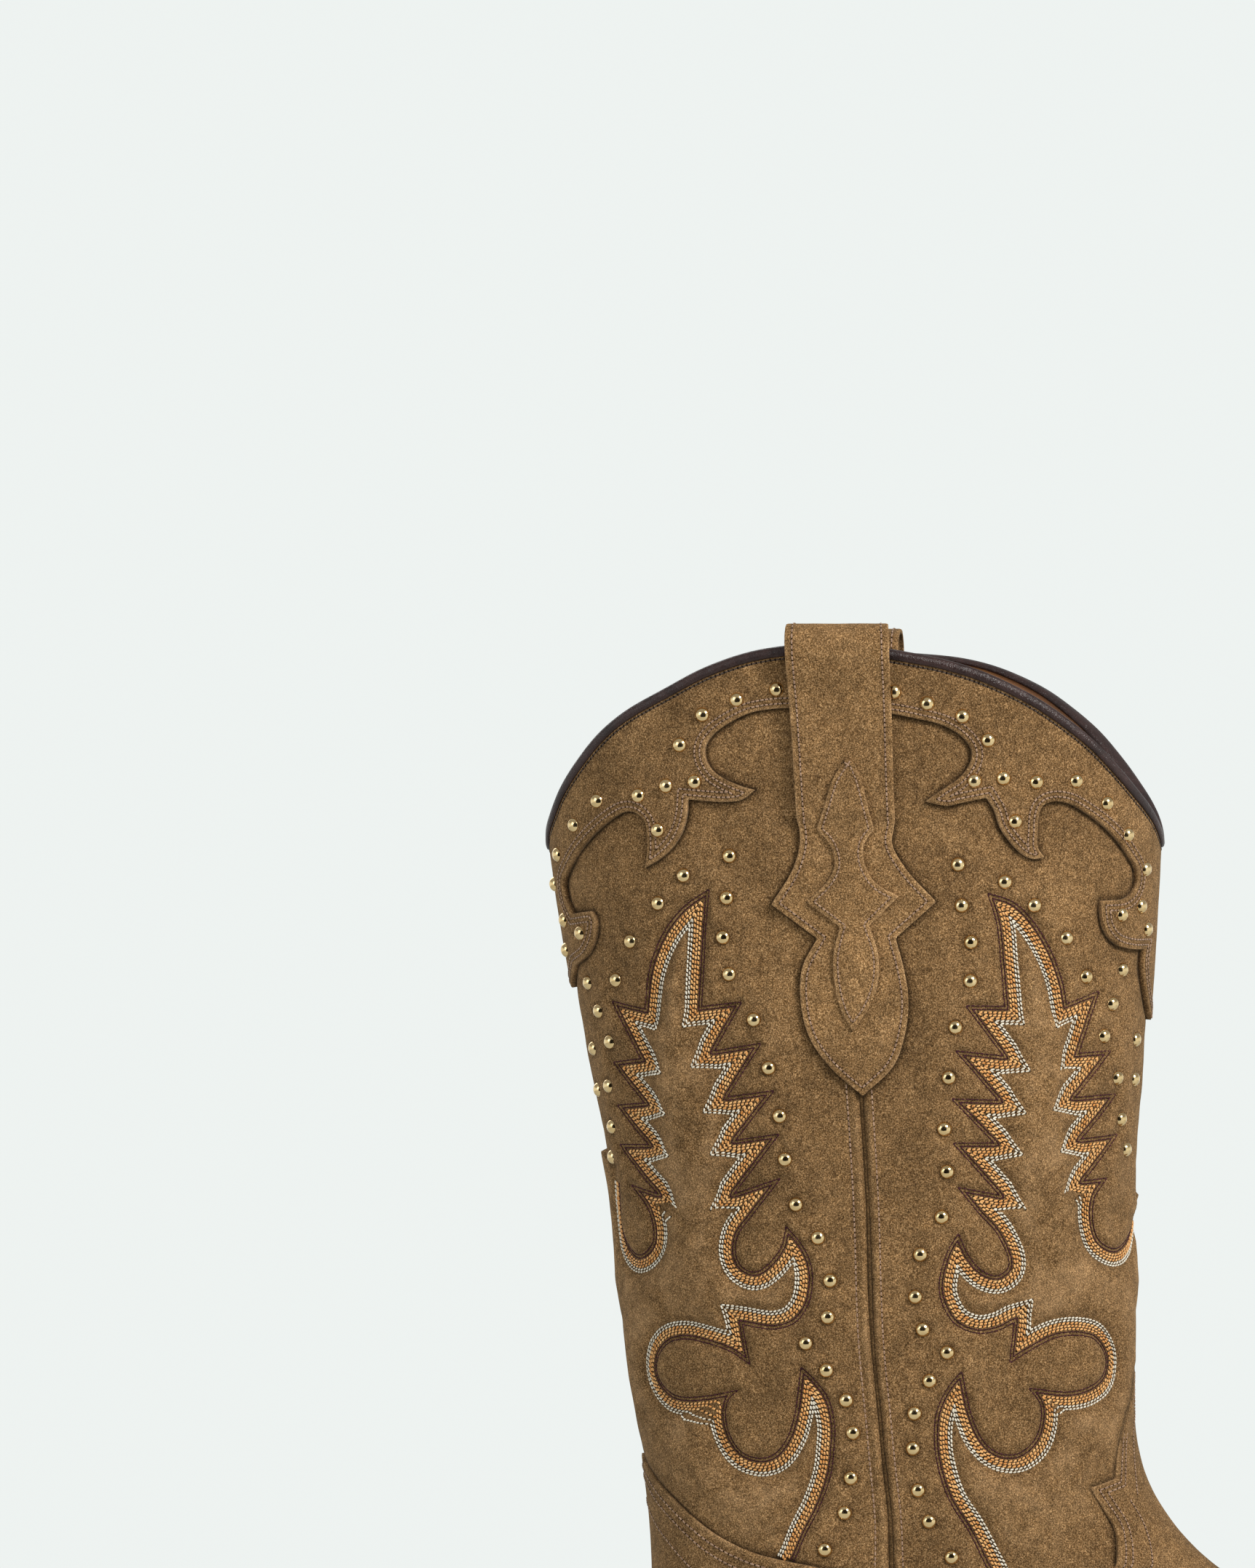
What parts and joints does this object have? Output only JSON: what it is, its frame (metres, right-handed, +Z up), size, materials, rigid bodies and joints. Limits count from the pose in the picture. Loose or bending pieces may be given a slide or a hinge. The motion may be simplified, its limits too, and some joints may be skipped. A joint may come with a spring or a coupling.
{
  "type": "cowboy boot",
  "caption": "Right-foot suede western boot with scalloped collar, pull straps, stitched flame pattern, dome studs and stacked underslung heel; the shaft flexes at the ankle.",
  "frame": {"origin": "centre of the bounding box on the ground plane the boot stands on", "axes": "+Z up along the shaft, +X from heel to toe, -Y lateral (outer) side, +Y medial (inner) side of this right boot"},
  "size_m": [0.3178, 0.1032, 0.3511],
  "materials": {
    "suede": "brushed nap, matt",
    "strap_suede": "brushed nap, matt",
    "lining_leather": "smooth, semi-matt",
    "binding_leather": "smooth, satin",
    "brass_stud": "polished",
    "sole_leather": "burnished",
    "welt_leather": "natural edge",
    "heel_rubber": "matt",
    "fibre_board": "pressed fibre, matt",
    "cork_filler": "ground cork",
    "steel": "plain",
    "thread_orange": "twisted embroidery thread",
    "thread_white": "twisted embroidery thread",
    "thread_dark": "twisted embroidery thread",
    "thread_rose": "twisted sewing thread"
  },
  "bodies": {
    "foot": {"vamp": "suede", "counter": "suede", "vamp_lining": "lining_leather", "heel_lining": "lining_leather", "toe_box": "fibre_board", "heel_stiffener": "fibre_board", "insole_board": "fibre_board", "sock_lining": "lining_leather", "steel_shank": "steel", "bottom_filler": "cork_filler", "welt": "welt_leather", "outsole": "sole_leather", "heel_lift_1": "sole_leather", "heel_lift_2": "sole_leather", "heel_lift_3": "sole_leather", "heel_lift_4": "sole_leather", "heel_lift_5": "sole_leather", "heel_top_lift": "heel_rubber", "heel_screw": "steel", "heel_nail_1": "steel", "heel_nail_2": "steel", "heel_nail_3": "steel", "heel_nail_4": "steel"},
    "shaft": {"shaft_front_panel": "suede", "shaft_back_panel": "suede", "shaft_front_lining": "lining_leather", "shaft_back_lining": "lining_leather", "side_seam_piping_lateral": "suede", "side_seam_piping_medial": "suede", "collar_overlay_front": "suede", "collar_overlay_back": "suede", "topline_binding_front": "binding_leather", "topline_binding_back": "binding_leather", "pull_strap_lateral": "strap_suede", "pull_strap_medial": "strap_suede", "strap_diamond_lateral": "strap_suede", "strap_diamond_medial": "strap_suede", "collar_studs_back": "brass_stud", "collar_studs_front": "brass_stud", "panel_studs_back_lateral": "brass_stud", "panel_studs_back_medial": "brass_stud", "panel_studs_front_lateral": "brass_stud", "panel_studs_front_medial": "brass_stud"}
  },
  "joints": [
    {"name": "ankle_flex", "type": "hinge", "parent": "foot", "child": "shaft", "pos_m": [-0.06561, 0, 0.125], "axis": [0, 1, 0], "range_deg": [-6, 8], "stiffness_Nm_per_rad": 4, "deforming": ["vamp", "counter"]}
  ]
}
